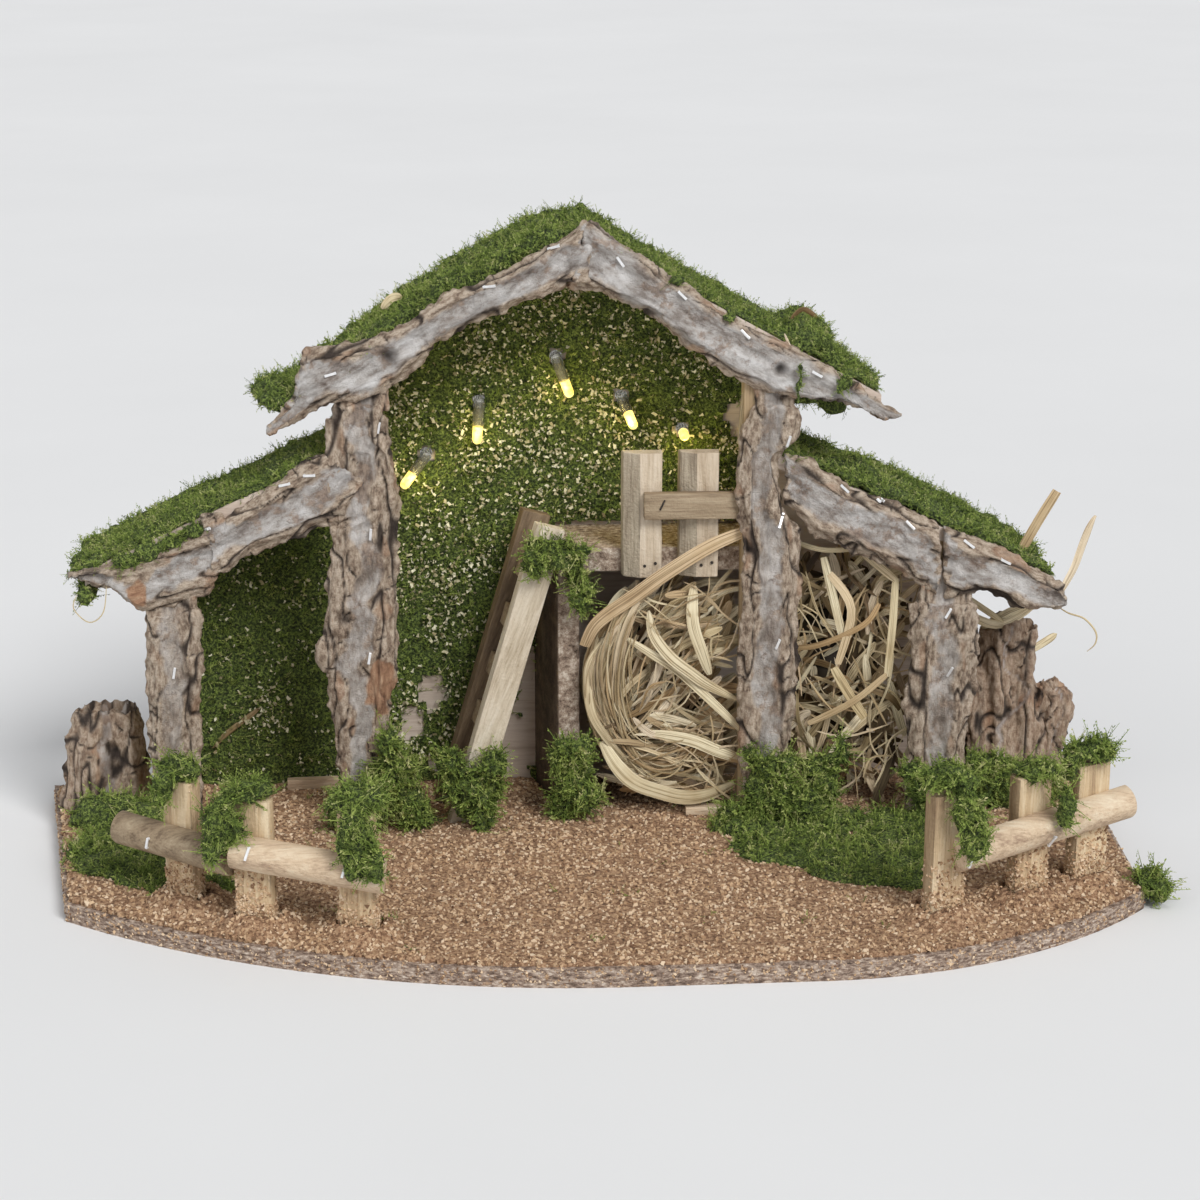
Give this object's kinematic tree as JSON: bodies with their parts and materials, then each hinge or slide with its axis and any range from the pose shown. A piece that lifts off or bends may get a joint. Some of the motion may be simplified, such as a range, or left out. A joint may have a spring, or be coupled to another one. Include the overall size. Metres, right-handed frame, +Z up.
{
  "type": "nativity stable",
  "caption": "Rustic wooden nativity stable on a half-oval base, with bark facings, mossy roofs, a straw-filled bay, loft, ladder, fences and small lamps, for holding crib figures.",
  "frame": {"origin": "on the underside of the base, close to the middle of its outline", "axes": "+X to the right along the back wall, -Y out of the open front, +Z up from the table"},
  "size_m": [0.5335, 0.2405, 0.3086],
  "materials": {
    "base_board": "rough sawn chipboard, bark dust on the cut edge",
    "dowel_wood": "plain beech dowel",
    "granules": "loose bark granules glued down",
    "plywood": "bare plywood",
    "timber": "sawn softwood",
    "bark": "rough pine bark, grey valleys and torn brown edges",
    "loft_board": "chipboard with a dusted edge",
    "sawn_wood": "pale sawn softwood",
    "split_wood": "split round sticks",
    "moss": "dried moss",
    "straw": "dry straw leaves",
    "nail_steel": "bright wire nail",
    "staple_steel": "bright staple wire",
    "sleeve_clear": "clear plastic sleeve",
    "bulb_glow": "lit warm lamp"
  },
  "bodies": {
    "root": {"base_rear_board": "base_board", "base_front_board": "base_board", "base_dowels": "dowel_wood", "foot_nails": "nail_steel", "ground_cover": "granules", "back_wall": "plywood", "main_post_left": "timber", "main_post_right": "timber", "outer_post_left": "timber", "outer_post_right": "timber", "main_roof_left": "plywood", "main_roof_right": "plywood", "lean_roof_left": "plywood", "lean_roof_right": "plywood", "bark_barge_main_left": "bark", "bark_barge_main_right": "bark", "bark_main_post_left": "bark", "bark_main_post_right": "bark", "bark_outer_post_left": "bark", "bark_outer_post_right": "bark", "bark_barge_lean_left_inner": "bark", "bark_barge_lean_left_outer": "bark", "bark_barge_lean_right_inner": "bark", "bark_barge_lean_right_outer": "bark", "bark_staples": "staple_steel", "loft_partition": "loft_board", "loft_floor": "loft_board", "loft_fence_post_left": "sawn_wood", "loft_fence_post_right": "sawn_wood", "loft_fence_rail": "split_wood", "loft_brads": "staple_steel", "ladder_rail_front": "sawn_wood", "ladder_rail_back": "sawn_wood", "ladder_rungs": "sawn_wood", "fence_left_stake_outer": "split_wood", "fence_left_stake_middle": "split_wood", "fence_left_stake_inner": "split_wood", "fence_right_stake_inner": "split_wood", "fence_right_stake_middle": "split_wood", "fence_right_stake_outer": "split_wood", "fence_left_rail_outer": "split_wood", "fence_left_rail_inner": "split_wood", "fence_right_rail": "split_wood", "fence_staples": "staple_steel", "led_sleeves": "sleeve_clear", "led_bulbs": "bulb_glow", "bark_log_left": "bark", "bark_log_right": "bark", "bark_chip_right": "bark", "straw_nest": "straw", "straw_right_bay": "straw", "straw_stalks": "straw", "ground_offcuts": "sawn_wood", "moss_roof_main_left": "moss", "moss_roof_main_right": "moss", "moss_roof_lean_left": "moss", "moss_roof_lean_right": "moss", "moss_wall": "moss", "moss_ground": "moss", "moss_tufts": "moss"}
  },
  "joints": []
}
